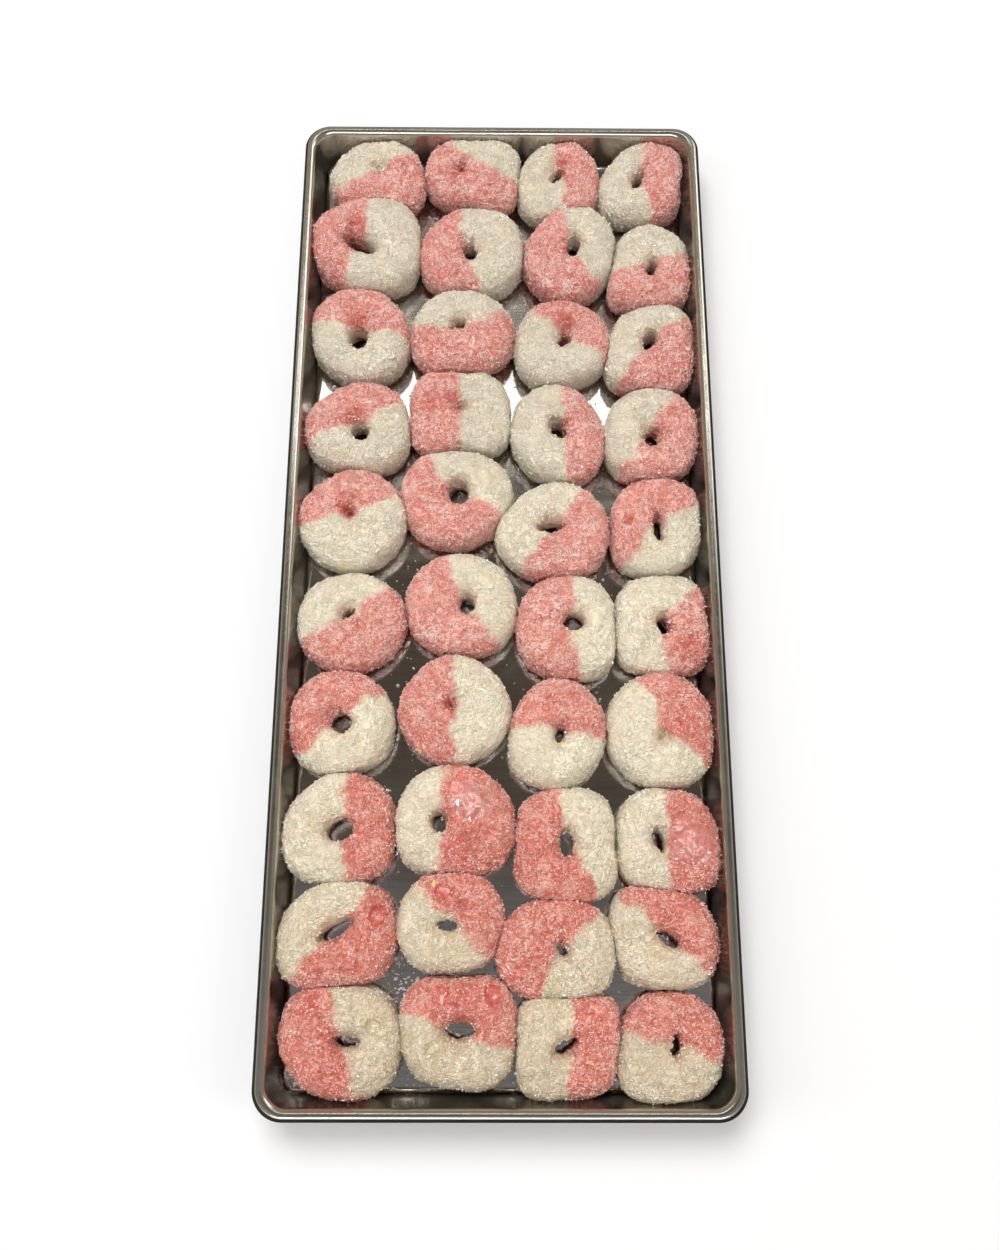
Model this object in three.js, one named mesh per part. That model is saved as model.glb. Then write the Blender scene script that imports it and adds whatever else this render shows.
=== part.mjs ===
// A long, shallow stainless steel tray with forty freeze-dried gummy rings, in ten rows of four.
// Millimetres, +Z up. +X runs across the tray and +Y along it, towards the far end, where row 1
// lies. The origin is the middle of the tray's flat underside.

import * as THREE from 'three';
import { mergeVertices } from 'three/addons/utils/BufferGeometryUtils.js';

// ---------------------------------------------------------------- driving dimensions

// The tray: sheet metal, pressed to a flat floor with leaning walls and rolled over at the rim.
const TRAY_WIDTH = 192;
const TRAY_LENGTH = 452;
const TRAY_HEIGHT = 22;
const SHEET = 0.9;
const BEAD_RADIUS = 2.6;
const WALL_LEAN = 2.8;
const FLOOR_FILLET = 3;
const CORNER_RADIUS = 12;
const CORNER_TIGHTENING = 0.6; // how much each millimetre further in takes off the corner radius

// The rings lie side by side on the floor. The gap is left between any two neighbouring pieces.
const GAP = 0.3;
const PIT_DEPTH = 0.5; // how far down a hole that has swollen shut still dips, as a share of height

// One entry a ring, row by row from the far end and from -X to +X: its middle on the floor, its
// height, how far its widest outline reaches from the middle in eight directions, from +X by way of
// +Y, and its hole: [x, y, length, width, turn in degrees] from the middle. A hole that has swollen
// shut to a pit has only its place.
function sweet(middle, height, reach, hole) {
  return { middle: new THREE.Vector2(...middle), height, reach, hole, shut: hole.length === 2 };
}

const ROWS = [
  [
    sweet([-61, 204], 18.5, [23, 21, 19.5, 19, 23, 24, 18.5, 26], [0, 2]),
    sweet([-14.5, 204], 19.5, [23.5, 28, 20, 23, 23, 21.5, 16.5, 26], [-5, 0]),
    sweet([28, 201], 18.5, [20, 21.5, 22.5, 19.5, 20.5, 24, 23.5, 22.5], [-1, 0, 9, 4.5, 65]),
    sweet([67.5, 200], 18.5, [20.5, 26.5, 21.5, 17.5, 20, 24.5, 21.5, 23.5], [-1, -1, 11, 5, 60]),
  ],
  [
    sweet([-66.5, 165], 20, [28, 28.5, 24.5, 24, 27.5, 26, 25.5, 31], [-2, -3, 18, 8, -30]),
    sweet([-15, 161], 19, [26.5, 26.5, 23, 22.5, 24.5, 26, 22.5, 26.5], [0, -2, 10, 7.5, 90]),
    sweet([32, 160], 19.5, [22.5, 26, 25.5, 20.5, 22, 24, 25.5, 24], [2.5, 1, 12, 6.5, 80]),
    sweet([70.5, 154], 18.5, [20, 21, 22, 19.5, 17.5, 26, 23.5, 25], [1, -3.5, 10, 5, 80]),
  ],
  [
    sweet([-67, 115], 19, [24, 23.5, 24.5, 25.5, 23, 22.5, 24, 25.5], [0.5, -3.5, 10.5, 9, 90]),
    sweet([-19, 118], 19, [25, 23, 21, 22, 23.5, 26, 21, 25], [-1, 1, 8.5, 4.5, 25]),
    sweet([28.5, 112], 19, [23, 21.5, 21.5, 22.5, 22, 25, 22, 22.5], [0.5, -0.5, 7, 6, 90]),
    sweet([69.5, 110], 18.5, [20.5, 25, 21, 20.5, 20, 26, 22.5, 25.5], [-0.5, 1.5, 11, 6, 65]),
  ],
  [
    sweet([-67, 68], 19.5, [25.5, 25, 22, 21, 24.5, 23.5, 21, 26.5], [2.5, -4, 8, 8, 0]),
    sweet([-19.5, 76], 18, [24, 24.5, 19.5, 25, 23.5, 26, 18, 26.5], [1, 1]),
    sweet([25.5, 66], 19, [21.5, 21, 23.5, 23, 21.5, 22.5, 24.5, 25.5], [0.5, 0, 10, 7, 110]),
    sweet([69, 66], 19, [22.5, 22.5, 22.5, 22.5, 22, 25.5, 23, 24], [-0.5, -3.5, 9, 8, 90]),
  ],
  [
    sweet([-67.5, 23], 19.5, [25.5, 24.5, 23.5, 22, 24.5, 24, 24.5, 24.5], [0, 1]),
    sweet([-20, 33], 19.5, [25.5, 25, 22.5, 26, 25.5, 24.5, 23, 23], [1, 1.5, 11.5, 9.5, 90]),
    sweet([22.5, 18], 19.5, [26, 25, 22.5, 21, 26, 24, 22.5, 25.5], [0, 0.5, 13, 5.5, 8]),
    sweet([69.5, 20.5], 19, [20.5, 24, 22.5, 22.5, 20, 24.5, 23.5, 22.5], [0.5, -2.5, 15, 4.5, 92]),
  ],
  [
    sweet([-66, -24], 19, [24.5, 23, 21.5, 22, 24, 24, 23, 23.5], [-1, 2, 7, 3.5, 35]),
    sweet([-18, -16.5], 19, [25, 24, 23, 24, 24, 24, 23, 26], [3, -1, 9, 7, 90]),
    sweet([28.5, -26], 19.5, [21.5, 24, 22.5, 22.5, 22, 24, 24, 26.5], [3, 0.5, 9, 8.5, 0]),
    sweet([70.5, -25], 19, [20.5, 23.5, 22, 23.5, 20.5, 25.5, 23, 25.5], [0, -1.5, 8, 5.5, 100]),
  ],
  [
    sweet([-68, -69], 19, [22.5, 22, 22.5, 23, 23, 24.5, 22.5, 23.5], [0, -1, 9.5, 9.5, 90]),
    sweet([-20, -63], 19, [24.5, 23, 23.5, 22.5, 24, 24, 24.5, 24], [-1, 0.5]),
    sweet([24.5, -73], 19, [20.5, 21.5, 23.5, 21, 20.5, 25, 24.5, 21.5], [0.5, -2, 9, 4, 70]),
    sweet([68.5, -71], 20, [22, 23.5, 24, 23.5, 23.5, 25.5, 26, 26], [0, -5]),
  ],
  [
    sweet([-67.5, -114], 19.5, [23.5, 24.5, 23.5, 21.5, 24, 26, 23.5, 26], [1, -1, 12, 9, 25]),
    sweet([-19.5, -110.5], 20, [25.5, 24, 23, 24.5, 24.5, 26.5, 23.5, 27], [-6, -1.5, 9, 6.5, 100]),
    sweet([27, -120], 19, [20.5, 24.5, 23, 24, 20.5, 26, 24, 26.5], [0, 0, 13, 7, 92]),
    sweet([70, -118.5], 19.5, [22, 21.5, 21.5, 24, 22, 24.5, 21.5, 25.5], [-5, -0.5, 10, 5.5, 105]),
  ],
  [
    sweet([-66.5, -156], 19.5, [24.5, 24.5, 22, 21, 25, 27, 21.5, 24.5], [0, 1, 16, 5.5, 30]),
    sweet([-20, -150], 18.5, [21.5, 21, 20.5, 20.5, 22.5, 24, 21.5, 23], [-1.5, -3, 9, 5, -3]),
    sweet([22, -161], 19, [25, 22.5, 19, 21, 24.5, 24.5, 20.5, 25.5], [3, -1.5, 6.5, 4.5, 125]),
    sweet([66.5, -157], 19, [22, 21, 20, 25, 22, 22.5, 21, 24], [1, -1, 12.5, 5, -32]),
  ],
  [
    sweet([-63, -197.5], 19.5, [24.5, 24.5, 22, 26, 25, 22.5, 22, 24.5], [2, 0.5, 12, 5, -5]),
    sweet([-17, -194], 19, [23.5, 26, 20.5, 25.5, 23.5, 23, 21, 25.5], [1, 1, 13.5, 7.5, 0]),
    sweet([26.5, -199.5], 18.5, [20.5, 25.5, 19.5, 24, 20.5, 24, 19.5, 22], [-0.5, 1, 11.5, 5.5, 28]),
    sweet([67.5, -199], 18.5, [21, 22, 21, 21, 20.5, 25.5, 21.5, 22.5], [2, 0.5, 10, 4.5, 85]),
  ],
];

// ---------------------------------------------------------------- small helpers

const FULL_TURN = 2 * Math.PI;
const radians = THREE.MathUtils.degToRad;

function polar(angle, radius) {
  return new THREE.Vector2(radius * Math.cos(angle), radius * Math.sin(angle));
}

// A closed mesh from its corner points and the triangles between them.
function meshFrom(name, corners, triangles, material) {
  const loose = new THREE.BufferGeometry();
  loose.setAttribute('position', new THREE.Float32BufferAttribute(corners.flat(), 3));
  loose.setIndex(triangles.flat());
  const geometry = mergeVertices(loose);
  geometry.computeVertexNormals();
  const mesh = new THREE.Mesh(geometry, material);
  mesh.name = name;
  return mesh;
}

// ---------------------------------------------------------------- the tray

const BEAD_STEP = 30;
const BEAD_END = 300; // the roll stops here, just short of the wall
const BEAD_INSIDE_STEP = 60;
const FILLET_STEPS = 3;
const CORNER_STEPS = 5;

const beadHeight = TRAY_HEIGHT - BEAD_RADIUS;
const wallTopInset = 2 * BEAD_RADIUS;
const leanAngle = Math.atan(WALL_LEAN / (beadHeight - SHEET));

// The middle of the fillet between the wall and the floor, as inset from the rim and height.
function filletMiddle() {
  const height = SHEET + FLOOR_FILLET;
  const drop = beadHeight - height;
  const inset = wallTopInset + (FLOOR_FILLET + drop * Math.sin(leanAngle)) / Math.cos(leanAngle);
  return { inset, height };
}

// Points on the fillet from the floor (0) to the wall (1), on its inner or its outer face.
function filletPoint(share, radius) {
  const middle = filletMiddle();
  const floorward = 1.5 * Math.PI;
  const wallward = Math.PI + leanAngle;
  const step = polar(THREE.MathUtils.lerp(floorward, wallward, share), radius);
  return { inset: middle.inset + step.x, height: middle.height + step.y };
}

function beadPoint(degrees, radius) {
  const step = polar(radians(degrees), radius);
  return { inset: BEAD_RADIUS + step.x, height: beadHeight + step.y };
}

// The sheet's section: up the inside of the wall, round the roll of the rim, back along the inside
// of the roll, and down the outside of the wall to the underside.
function traySection() {
  const section = [];
  for (let step = 0; step <= FILLET_STEPS; step += 1) {
    section.push(filletPoint(step / FILLET_STEPS, FLOOR_FILLET));
  }
  for (let degrees = 0; degrees <= BEAD_END; degrees += BEAD_STEP) {
    section.push(beadPoint(degrees, BEAD_RADIUS));
  }
  for (let degrees = BEAD_END; degrees >= 0; degrees -= BEAD_INSIDE_STEP) {
    section.push(beadPoint(degrees, BEAD_RADIUS - SHEET));
  }
  for (let step = FILLET_STEPS; step >= 0; step -= 1) {
    section.push(filletPoint(step / FILLET_STEPS, FLOOR_FILLET + SHEET));
  }
  return section;
}

// A rounded rectangle, a given distance in from the tray's outermost edge.
function roundedRectangle(inset) {
  const radius = CORNER_RADIUS - CORNER_TIGHTENING * inset;
  const middleX = TRAY_WIDTH / 2 - inset - radius;
  const middleY = TRAY_LENGTH / 2 - inset - radius;
  const signs = [[1, 1], [-1, 1], [-1, -1], [1, -1]];
  const points = [];
  signs.forEach(([signX, signY], quarter) => {
    for (let step = 0; step <= CORNER_STEPS; step += 1) {
      const angle = (FULL_TURN / 4) * (quarter + step / CORNER_STEPS);
      const corner = polar(angle, radius);
      points.push([signX * middleX + corner.x, signY * middleY + corner.y]);
    }
  });
  return points;
}

function makeTray(material) {
  const section = traySection();
  const corners = [];
  section.forEach(({ inset, height }) => {
    roundedRectangle(inset).forEach(([x, y]) => corners.push([x, y, height]));
  });
  const around = corners.length / section.length;
  const triangles = [];
  for (let level = 0; level + 1 < section.length; level += 1) {
    for (let station = 0; station < around; station += 1) {
      const next = (station + 1) % around;
      const here = level * around;
      const above = here + around;
      triangles.push([here + station, above + station, above + next]);
      triangles.push([here + station, above + next, here + next]);
    }
  }
  const lastLevel = (section.length - 1) * around;
  const floorMiddle = corners.length;
  corners.push([0, 0, SHEET]);
  const undersideMiddle = corners.length;
  corners.push([0, 0, 0]);
  for (let station = 0; station < around; station += 1) {
    const next = (station + 1) % around;
    triangles.push([floorMiddle, station, next]);
    triangles.push([undersideMiddle, lastLevel + next, lastLevel + station]);
  }
  return meshFrom('tray', corners, triangles, material);
}

// How far in from the rim the wall's inner face is at a height above the underside.
function wallInsetAt(height) {
  const middle = filletMiddle();
  const filletTop = filletPoint(1, FLOOR_FILLET);
  if (height >= filletTop.height) {
    return wallTopInset + Math.max(0, beadHeight - height) * Math.tan(leanAngle);
  }
  const below = middle.height - height;
  return middle.inset - Math.sqrt(Math.max(0, FLOOR_FILLET ** 2 - below ** 2));
}

// ---------------------------------------------------------------- how the rings press together

const STATIONS = 16;
const READINGS = 8;
const NEAR = 62; // rings with their middles closer than this can touch
const TILTS = 12;
const TILT_STEP = radians(4);

// The reach halfway between two readings, on a smooth curve through the four around it.
function reachAfter(reach, index) {
  const at = (step) => reach[(index + step + READINGS) % READINGS];
  return (9 * (at(0) + at(1)) - at(-1) - at(2)) / 16;
}

// The widest outline of a ring left to itself, measured from its middle.
function freeOutline(ring) {
  const points = [];
  for (let reading = 0; reading < READINGS; reading += 1) {
    const angle = (FULL_TURN * reading) / READINGS;
    points.push(polar(angle, ring.reach[reading]));
    points.push(polar(angle + FULL_TURN / STATIONS, reachAfter(ring.reach, reading)));
  }
  return points;
}

function reachAlong(points, direction) {
  return Math.max(...points.map((point) => point.dot(direction)));
}

// The direction in which two rings overlap least, and by how much they overlap in it.
function leastOverlap(first, second) {
  const between = second.middle.clone().sub(first.middle);
  let least = { overlap: Infinity };
  for (let tilt = -TILTS; tilt <= TILTS; tilt += 1) {
    const direction = polar(between.angle() + tilt * TILT_STEP, 1);
    const mine = reachAlong(first.outline, direction);
    const theirs = reachAlong(second.outline, direction.clone().negate());
    const overlap = mine + theirs + GAP - between.dot(direction);
    if (overlap < least.overlap) {
      least = { overlap, direction, mine, theirs };
    }
  }
  return least;
}

// Two rings that would overlap meet on one upright plane, each giving way by half.
function pressTogether(first, second) {
  const { overlap, direction, mine, theirs } = leastOverlap(first, second);
  if (overlap > 0) {
    first.limits.push({ direction, reach: mine - overlap / 2 });
    second.limits.push({ direction: direction.clone().negate(), reach: theirs - overlap / 2 });
  }
}

// How far a ring may reach towards the wall and its rounded corners, at a height.
function wallLimits(middle, height) {
  const inset = wallInsetAt(height) + GAP;
  const radius = CORNER_RADIUS - CORNER_TIGHTENING * inset;
  const straight = new THREE.Vector2(TRAY_WIDTH / 2 - inset - radius, TRAY_LENGTH / 2 - inset - radius);
  const limits = [];
  for (let station = 0; station < STATIONS; station += 1) {
    const direction = polar((FULL_TURN * station) / STATIONS, 1);
    const spread = Math.abs(direction.x) * straight.x + Math.abs(direction.y) * straight.y;
    limits.push({ direction, reach: spread + radius - middle.dot(direction) });
  }
  return limits;
}

// Draws a point in towards the ring's middle until it is inside all limits.
function heldIn(point, limits) {
  let share = 1;
  limits.forEach((limit) => {
    const reach = point.dot(limit.direction);
    if (reach > limit.reach) {
      share = Math.min(share, limit.reach / reach);
    }
  });
  return point.clone().multiplyScalar(share);
}

// ---------------------------------------------------------------- one ring

// The section of a ring from its flat underside round the outside and over the crown into the hole:
// `out` runs from the hole's edge (0) to the outline (1), `up` is a share of the ring's height.
const UNDERSIDE_INNER = { out: 0.16, up: 0 };
const OUTER_SIDE = [
  { out: 0.84, up: 0 },
  { out: 1, up: 0.4 },
  { out: 0.9, up: 0.84 },
];
const CROWN = { out: 0.46, up: 1 };
const INNER_SHOULDER = { out: 0.07, up: 0.92 };
const WAIST = { out: 0, up: 0.5 };
const PIT_SHOULDER = { out: 0.1, up: 0.93 };
const PIT_RADIUS = 1.3;

// Puffed sweets are uneven: the crown rises and falls a little on its way round.
const CROWN_WAVES = [
  { turns: 2, size: 0.03, shift: 1.7 },
  { turns: 3, size: 0.025, shift: 2.9 },
];

function crownWave(angle, order) {
  let wave = 0;
  CROWN_WAVES.forEach(({ turns, size, shift }) => {
    wave += size * Math.sin(turns * angle + shift * order);
  });
  return wave;
}

// The edge of an oval hole, or of the little pit that is left of one, at each station.
function holeEdge(ring) {
  const [x, y, length = 2 * PIT_RADIUS, width = 2 * PIT_RADIUS, turn = 0] = ring.hole;
  const points = [];
  for (let station = 0; station < STATIONS; station += 1) {
    const angle = (FULL_TURN * station) / STATIONS;
    const alongHole = Math.cos(angle - radians(turn)) / (length / 2);
    const acrossHole = Math.sin(angle - radians(turn)) / (width / 2);
    points.push(polar(angle, 1 / Math.hypot(alongHole, acrossHole)).add(new THREE.Vector2(x, y)));
  }
  return points;
}

// The corners of one station, from the underside's inner edge to the waist of the hole.
function stationCorners(ring, levels, station) {
  const angle = (FULL_TURN * station) / STATIONS;
  const edge = ring.edge[station];
  const outer = ring.outline[station];
  return levels.map(({ out, up }) => {
    const rise = up * ring.height * (1 + crownWave(angle, ring.order) * up);
    const height = SHEET + GAP + rise;
    const free = edge.clone().lerp(outer, out);
    const limits = [...ring.limits, ...wallLimits(ring.middle, height)];
    const held = heldIn(free, limits).add(ring.middle);
    return [held.x, held.y, height];
  });
}

// Joins each station's corners to the next station's: a strip for each pair of levels.
function stripsBetween(levels, closed) {
  const triangles = [];
  const strips = closed ? levels : levels - 1;
  for (let station = 0; station < STATIONS; station += 1) {
    const here = station * levels;
    const beyond = ((station + 1) % STATIONS) * levels;
    for (let level = 0; level < strips; level += 1) {
      const next = (level + 1) % levels;
      triangles.push([here + level, beyond + level, beyond + next]);
      triangles.push([here + level, beyond + next, here + next]);
    }
  }
  return triangles;
}

// A ring with a hole through it: its section is a closed loop at every station.
function openRing(ring, material) {
  const levels = [UNDERSIDE_INNER, ...OUTER_SIDE, CROWN, INNER_SHOULDER, WAIST];
  const corners = [];
  for (let station = 0; station < STATIONS; station += 1) {
    corners.push(...stationCorners(ring, levels, station));
  }
  return meshFrom(ring.name, corners, stripsBetween(levels.length, true), material);
}

// A ring whose hole has swollen shut: the underside is whole and the top dips to a pit.
function shutRing(ring, material) {
  const levels = [...OUTER_SIDE, CROWN, PIT_SHOULDER];
  const corners = [];
  for (let station = 0; station < STATIONS; station += 1) {
    corners.push(...stationCorners(ring, levels, station));
  }
  const triangles = stripsBetween(levels.length, false);
  const pitX = ring.middle.x + ring.hole[0];
  const pitY = ring.middle.y + ring.hole[1];
  const undersideMiddle = corners.length;
  corners.push([ring.middle.x, ring.middle.y, SHEET + GAP]);
  const pitBottom = corners.length;
  corners.push([pitX, pitY, SHEET + GAP + ring.height * PIT_DEPTH]);
  for (let station = 0; station < STATIONS; station += 1) {
    const here = station * levels.length;
    const beyond = ((station + 1) % STATIONS) * levels.length;
    const top = levels.length - 1;
    triangles.push([undersideMiddle, beyond, here]);
    triangles.push([pitBottom, here + top, beyond + top]);
  }
  return meshFrom(ring.name, corners, triangles, material);
}

// ---------------------------------------------------------------- putting the tray together

const steel = new THREE.MeshStandardMaterial({ color: 0xa9a39b, metalness: 1, roughness: 0.28 });
const sugared = () => new THREE.MeshStandardMaterial({ color: 0xeeb0a8, metalness: 0, roughness: 0.6 });

function layOutRings() {
  const rings = [];
  ROWS.forEach((row, rowIndex) => {
    row.forEach((entry, columnIndex) => {
      const name = `ring_${rowIndex + 1}_${columnIndex + 1}`;
      rings.push({ ...entry, name, order: rings.length, limits: [] });
    });
  });
  rings.forEach((ring) => {
    ring.outline = freeOutline(ring);
    ring.edge = holeEdge(ring);
  });
  rings.forEach((first, index) => {
    rings.slice(index + 1).forEach((second) => {
      if (first.middle.distanceTo(second.middle) < NEAR) {
        pressTogether(first, second);
      }
    });
  });
  return rings;
}

const trayOfRings = new THREE.Group();
trayOfRings.add(makeTray(steel));
layOutRings().forEach((ring) => {
  trayOfRings.add(ring.shut ? shutRing(ring, sugared()) : openRing(ring, sugared()));
});

export default trayOfRings;
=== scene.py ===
"""A long steel tray of freeze-dried gummy rings: fine meshes, materials, light and camera.

Metres, in the shared frame: +X across the tray, +Y towards its far end, +Z up.
"""
import math
from types import SimpleNamespace

import bmesh
import bpy
import numpy as np
from mathutils import Matrix, Vector, noise
from mathutils.bvhtree import BVHTree


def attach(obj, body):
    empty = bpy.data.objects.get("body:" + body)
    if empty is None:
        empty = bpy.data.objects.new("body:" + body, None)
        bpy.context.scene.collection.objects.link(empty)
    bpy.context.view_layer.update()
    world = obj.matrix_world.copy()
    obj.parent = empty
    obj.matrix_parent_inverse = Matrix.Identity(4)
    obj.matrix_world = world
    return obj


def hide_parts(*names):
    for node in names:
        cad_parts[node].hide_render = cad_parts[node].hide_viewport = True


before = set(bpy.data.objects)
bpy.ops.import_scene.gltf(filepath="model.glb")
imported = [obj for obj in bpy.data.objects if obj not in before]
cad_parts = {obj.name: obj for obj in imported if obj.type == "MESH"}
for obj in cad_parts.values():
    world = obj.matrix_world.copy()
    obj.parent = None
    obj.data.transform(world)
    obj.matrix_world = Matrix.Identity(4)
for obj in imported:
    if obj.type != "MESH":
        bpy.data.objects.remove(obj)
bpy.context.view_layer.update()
MM = 0.001
scene = bpy.context.scene
rng = np.random.default_rng(7)


# ------------------------------------------------------------------ camera

CAMERA_PLACE = (-3.80, -157.09, 481.69)  # millimetres
CAMERA_ANGLES = (74.369, 1.4378, 1.6031)  # degrees below the horizon, to the right of +Y, and rolled
FOCAL_LENGTH, SENSOR_WIDTH = 32.05, 36  # millimetres


def aim_camera():
    pitch, yaw, roll = (math.radians(angle) for angle in CAMERA_ANGLES)
    forward = Vector((math.sin(yaw) * math.cos(pitch), math.cos(yaw) * math.cos(pitch), -math.sin(pitch)))
    right = Vector((math.cos(yaw), -math.sin(yaw), 0))
    up = right.cross(forward)
    turned_right = math.cos(roll) * right + math.sin(roll) * up
    turned_up = math.cos(roll) * up - math.sin(roll) * right
    data = bpy.data.cameras.new("camera")
    data.lens = FOCAL_LENGTH
    data.sensor_width = SENSOR_WIDTH
    camera = bpy.data.objects.new("camera", data)
    axes = Matrix((turned_right, turned_up, -forward)).transposed()
    camera.matrix_world = Matrix.Translation(Vector(CAMERA_PLACE) * MM) @ axes.to_4x4()
    scene.collection.objects.link(camera)
    scene.camera = camera


aim_camera()


# ------------------------------------------------------------------ small helpers

def add_object(name, mesh):
    piece = bpy.data.objects.new(name, mesh)
    scene.collection.objects.link(piece)
    return piece


def smooth(mesh):
    mesh.polygons.foreach_set("use_smooth", [True] * len(mesh.polygons))


def points_of(mesh):
    values = np.empty(len(mesh.vertices) * 3, dtype=np.float32)
    mesh.vertices.foreach_get("co", values)
    return values.reshape(-1, 3).astype(float)


def normals_of(mesh):
    values = np.empty(len(mesh.vertices) * 3, dtype=np.float32)
    mesh.vertex_normals.foreach_get("vector", values)
    return values.reshape(-1, 3).astype(float)


def set_points(mesh, points):
    mesh.vertices.foreach_set("co", np.asarray(points, dtype=np.float32).ravel())
    mesh.update()


def perlin(points, size, shift=0.0):
    """Noise from about -1 to 1 whose lumps are about `size` metres across."""
    return np.array([noise.noise(p) for p in (points / size + shift).tolist()])


def step(value, low, high):
    """0 below low, 1 above high, smooth between."""
    share = np.clip((value - low) / (high - low), 0, 1)
    return share * share * (3 - 2 * share)


def blob(points, middle, radius):
    """1 at a point in plan, falling off smoothly to 0 at about twice the radius. Millimetres."""
    away = np.hypot(points[:, 0] - middle[0] * MM, points[:, 1] - middle[1] * MM) / (radius * MM)
    return np.exp(-away ** 2)


def paint(mesh, name, *masks):
    """Stores up to three masks as one colour attribute."""
    values = np.zeros((len(mesh.vertices), 4))
    values[:, 3] = 1
    for channel, mask in enumerate(masks):
        values[:, channel] = np.clip(mask, 0, 1)
    layer = mesh.color_attributes.new(name, "FLOAT_COLOR", "POINT")
    layer.data.foreach_set("color", values.astype(np.float32).ravel())


def painted(mesh, name):
    """The masks that are stored as a colour attribute, one array each."""
    values = np.empty(len(mesh.vertices) * 4, dtype=np.float32)
    mesh.color_attributes[name].data.foreach_get("color", values)
    return values.reshape(-1, 4).T


# ------------------------------------------------------------------ materials

class Nodes:
    """Builds a material's node tree with few words. Sizes are in millimetres."""

    def __init__(self, name):
        self.material = bpy.data.materials.new(name)
        self.material.use_nodes = True
        self.tree = self.material.node_tree
        self.tree.nodes.clear()
        output = self.add("ShaderNodeOutputMaterial")
        self.shader = self.add("ShaderNodeBsdfPrincipled")
        self.link(self.shader.outputs[0], output.inputs[0])

    def add(self, kind, **settings):
        node = self.tree.nodes.new(kind)
        for key, value in settings.items():
            setattr(node, key, value)
        return node

    def link(self, source, target):
        self.tree.links.new(source, target)

    def put(self, target, value):
        """A constant or another node's output goes into a socket."""
        if hasattr(value, "is_output"):
            self.link(value, target)
        else:
            target.default_value = value

    def shade(self, **values):
        """Sets the shader's sockets; an underscore in a name stands for a space."""
        for name, value in values.items():
            self.put(self.shader.inputs[name.replace("_", " ")], value)

    def math(self, operation, first, second=0.0, third=0.0, clamp=False):
        node = self.add("ShaderNodeMath", operation=operation, use_clamp=clamp)
        for socket, value in zip(node.inputs, (first, second, third)):
            self.put(socket, value)
        return node.outputs[0]

    def times(self, first, second):
        return self.math("MULTIPLY", first, second)

    def plus(self, total, value, amount, clamp=False):
        """total + value * amount"""
        return self.math("MULTIPLY_ADD", value, amount, total, clamp)

    def less(self, value, amount):
        """value - amount"""
        return self.math("SUBTRACT", value, amount)

    def ramp(self, value, low, high, to_low=0.0, to_high=1.0):
        node = self.add("ShaderNodeMapRange", interpolation_type="SMOOTHSTEP")
        for socket, number in zip(node.inputs, (value, low, high, to_low, to_high)):
            self.put(socket, number)
        return node.outputs[0]

    def mix(self, share, first, second, blend="MIX"):
        node = self.add("ShaderNodeMix", data_type="RGBA", blend_type=blend)
        self.put(node.inputs[0], share)
        self.put(node.inputs[6], (*first, 1) if isinstance(first, tuple) else first)
        self.put(node.inputs[7], (*second, 1) if isinstance(second, tuple) else second)
        return node.outputs[2]

    def cover(self, colour, *layers):
        """Lays colours over a first one; each layer is a share and a colour."""
        for share, over in layers:
            colour = self.mix(share, colour, over)
        return colour

    def lines(self, value, width):
        """1 along the winding lines where a noise passes its middle, 0 beyond their width."""
        return self.ramp(self.math("ABSOLUTE", self.less(value, 0.5)), 0.0, width, 1.0, 0.0)

    def place(self, scale=(1, 1, 1)):
        coordinates = self.add("ShaderNodeTexCoord")
        mapping = self.add("ShaderNodeMapping")
        mapping.inputs["Scale"].default_value = scale
        self.link(coordinates.outputs["Object"], mapping.inputs[0])
        return mapping.outputs[0]

    def along(self, place):
        """The place along the tray, in metres."""
        split = self.add("ShaderNodeSeparateXYZ")
        self.link(place, split.inputs[0])
        return split.outputs[1]

    def noise(self, place, size, detail=2.0, rough=0.5):
        node = self.add("ShaderNodeTexNoise")
        self.link(place, node.inputs["Vector"])
        node.inputs["Scale"].default_value = 1 / (size * MM)
        node.inputs["Detail"].default_value = detail
        node.inputs["Roughness"].default_value = rough
        return node.outputs[0]

    def cells(self, place, size):
        """Distance from each cell's middle, and two random numbers for each cell."""
        node = self.add("ShaderNodeTexVoronoi")
        self.link(place, node.inputs["Vector"])
        node.inputs["Scale"].default_value = 1 / (size * MM)
        split = self.add("ShaderNodeSeparateColor")
        self.link(node.outputs["Color"], split.inputs[0])
        return node.outputs["Distance"], split.outputs[0], split.outputs[1]

    def masks(self, name):
        attribute = self.add("ShaderNodeAttribute", attribute_name=name)
        split = self.add("ShaderNodeSeparateColor")
        self.link(attribute.outputs["Color"], split.inputs[0])
        return split.outputs[:3]

    def bump(self, height, strength, distance, under=None):
        """Small relief; the distance is in millimetres."""
        node = self.add("ShaderNodeBump")
        node.inputs["Strength"].default_value = strength
        node.inputs["Distance"].default_value = distance * MM
        self.link(height, node.inputs["Height"])
        if under is not None:
            self.link(under, node.inputs["Normal"])
        return node.outputs[0]


# Colours of the cream part: its ground and frost, then what lies over them, painted shade among them.
CREAM_GROUND, CREAM_FROST = (0.76, 0.66, 0.475), (0.87, 0.82, 0.70)
CREAM_YELLOW, CREAM_SPECK = (0.79, 0.67, 0.43), (0.58, 0.48, 0.31)
CREAM_GLAZE, CREAM_CREASE_SHADE = (0.73, 0.67, 0.51), (0.62, 0.52, 0.345)
CREAM_CLEAR, CREAM_WARM_SHADE = (0.54, 0.48, 0.31), (0.76, 0.46, 0.30)
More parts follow.
